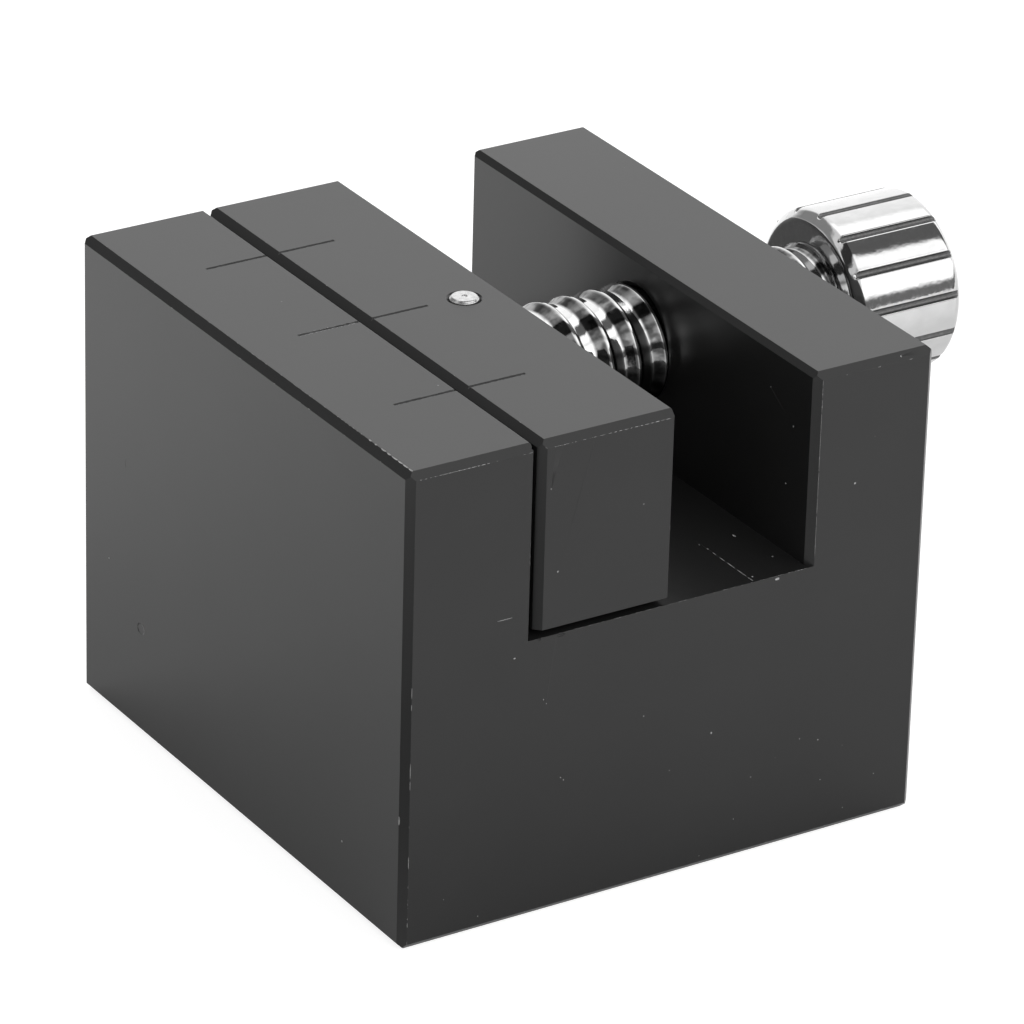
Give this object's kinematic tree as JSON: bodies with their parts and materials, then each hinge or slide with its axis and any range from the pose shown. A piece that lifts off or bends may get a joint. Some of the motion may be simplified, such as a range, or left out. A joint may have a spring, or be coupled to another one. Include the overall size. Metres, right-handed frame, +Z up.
{
  "type": "watch movement holder",
  "caption": "Small block vice with a fixed jaw and a screw-driven sliding jaw for holding a watch movement or small watch part.",
  "frame": {"origin": "centre of the flat underside of the block", "axes": "+X along the screw from the fixed jaw towards the knob, +Y along the jaws, +Z up from the underside to the open top of the slot"},
  "size_m": [0.0466, 0.0372, 0.03],
  "materials": {
    "black_anodised_block": "black anodised, satin",
    "black_anodised_jaw": "black anodised, satin",
    "pin_steel": "turned, bare",
    "screw_chrome": "polished chrome plate",
    "knob_chrome": "polished chrome plate"
  },
  "bodies": {
    "base": {"base_block": "black_anodised_block"},
    "jaw": {"sliding_jaw": "black_anodised_jaw", "retaining_pin": "pin_steel"},
    "spindle": {"lead_screw": "screw_chrome", "knob": "knob_chrome"}
  },
  "joints": [
    {"name": "jaw_slide", "type": "slide", "parent": "base", "child": "jaw", "axis": [1, 0, 0], "range_m": [-0.0004, 0.0094]},
    {"name": "screw_turn", "type": "hinge", "parent": "jaw", "child": "spindle", "pos_m": [0, 0, 0.0245], "axis": [1, 0, 0], "range_deg": [-79, 1840]}
  ],
  "couplings": [
    {"joint": "screw_turn", "follows": "jaw_slide", "rad_per_m": 3414.8}
  ]
}
